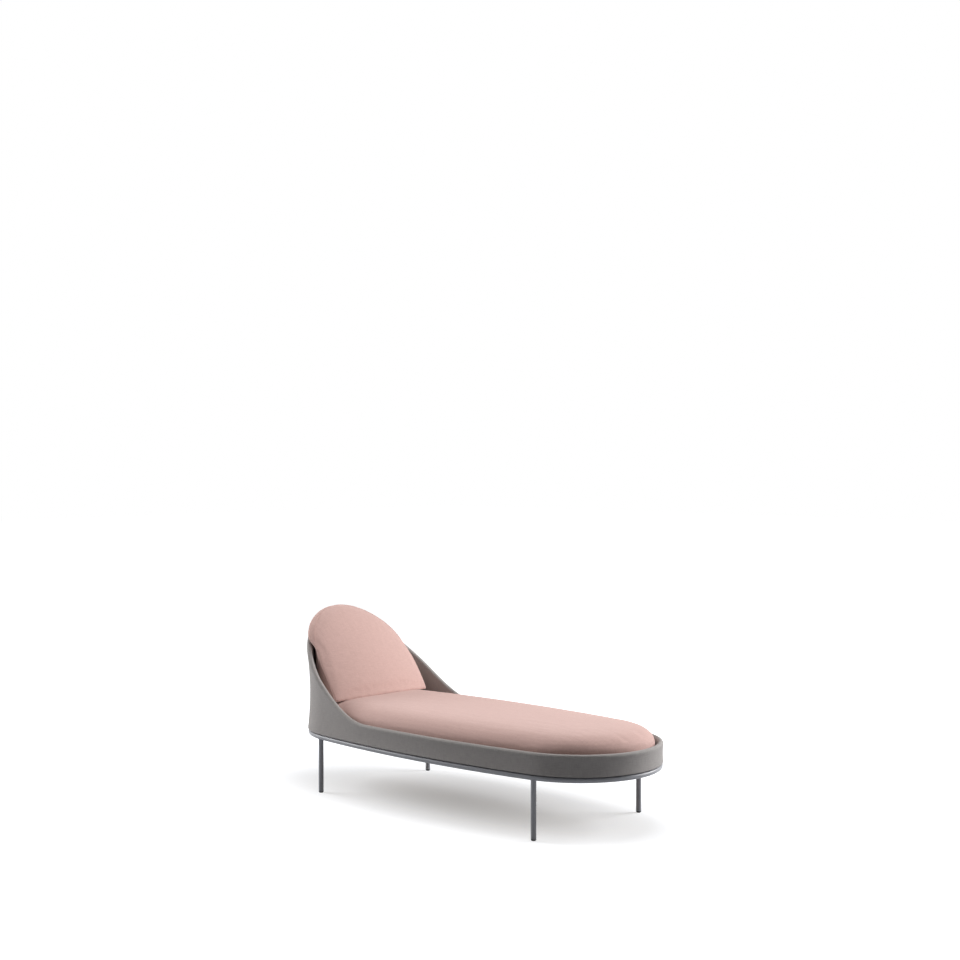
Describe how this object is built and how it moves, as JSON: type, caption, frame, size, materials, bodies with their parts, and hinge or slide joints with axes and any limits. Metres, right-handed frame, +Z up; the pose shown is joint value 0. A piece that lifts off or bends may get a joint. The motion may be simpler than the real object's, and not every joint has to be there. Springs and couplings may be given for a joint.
{
  "type": "chaise longue",
  "caption": "Outdoor chaise longue: padded oval shell with a rim that sweeps up into a high back, loose seat and back cushions, on a round-tube ring with straight legs.",
  "frame": {"origin": "on the floor under the middle of the oval ring", "axes": "+X from the high back to the foot end, +Y to the far side of the picture, +Z up"},
  "size_m": [2.004, 0.8528, 0.8661],
  "materials": {
    "tube": "satin powder coat",
    "glide": "moulded, matt",
    "pad": "matt",
    "board": "sealed plywood",
    "shell_fabric": "woven, warm grey",
    "cushion_fabric": "woven, pale pink"
  },
  "bodies": {
    "base": {"base_ring": "tube", "cross_bar_foot": "tube", "cross_bar_front": "tube", "cross_bar_head": "tube", "cross_bar_rear": "tube", "cross_pad_foot_far": "pad", "cross_pad_foot_near": "pad", "cross_pad_front_far": "pad", "cross_pad_front_near": "pad", "cross_pad_head_far": "pad", "cross_pad_head_near": "pad", "cross_pad_rear_far": "pad", "cross_pad_rear_near": "pad", "leg_foot_far": "tube", "leg_foot_near": "tube", "leg_glides": "glide", "leg_head_far": "tube", "leg_head_near": "tube", "seat_deck": "board", "shell_core": "board", "shell_padding": "shell_fabric"},
    "seat": {"seat_cushion": "cushion_fabric"},
    "back": {"back_cushion": "cushion_fabric"}
  },
  "joints": [
    {"name": "seat_cushion_lift", "type": "slide", "parent": "base", "child": "seat", "axis": [0, 0, 1], "range_m": [0, 0.6]},
    {"name": "back_cushion_lift", "type": "slide", "parent": "seat", "child": "back", "axis": [0, 0, 1], "range_m": [0, 0.5]}
  ]
}
